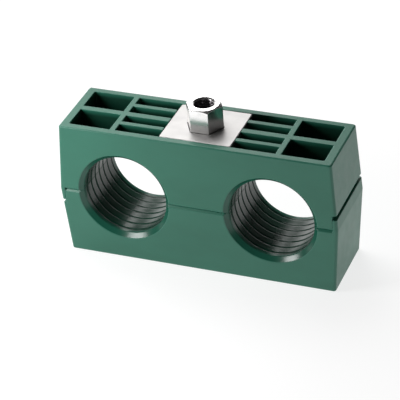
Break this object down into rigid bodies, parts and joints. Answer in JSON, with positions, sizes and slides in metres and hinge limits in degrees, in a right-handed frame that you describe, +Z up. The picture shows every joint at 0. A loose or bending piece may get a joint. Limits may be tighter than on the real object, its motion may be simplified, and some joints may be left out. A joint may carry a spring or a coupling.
{
  "type": "twin hydraulic tube clamp",
  "caption": "Twin tube clamp of two ribbed plastic halves with side-by-side bores, held by a hexagonal stacking bolt through a square locking plate.",
  "frame": {"origin": "centre of the base, on the outer face of the lower half", "axes": "+X along the clamp from one tube bore to the other, +Y along the tubes, +Z up along the stacking bolt"},
  "size_m": [0.106, 0.03, 0.0622],
  "materials": {
    "lower_moulding": "green polypropylene, satin moulded skin with glossy bores",
    "upper_moulding": "green polypropylene, satin moulded skin with glossy bores",
    "plate_steel": "satin zinc-plated sheet steel",
    "bolt_plating": "bright zinc-plated turned steel"
  },
  "bodies": {
    "lower": {"lower_half": "lower_moulding"},
    "upper": {"upper_half": "upper_moulding"},
    "plate": {"locking_plate": "plate_steel"},
    "bolt": {"stacking_bolt": "bolt_plating"}
  },
  "joints": [
    {"name": "upper_half_lift", "type": "slide", "parent": "lower", "child": "upper", "axis": [0, 0, 1], "range_m": [0, 0.06]},
    {"name": "plate_lift", "type": "slide", "parent": "upper", "child": "plate", "axis": [0, 0, 1], "range_m": [0, 0.015]},
    {"name": "bolt_draw", "type": "slide", "parent": "upper", "child": "bolt", "axis": [0, 0, 1], "range_m": [0, 0.055]}
  ]
}
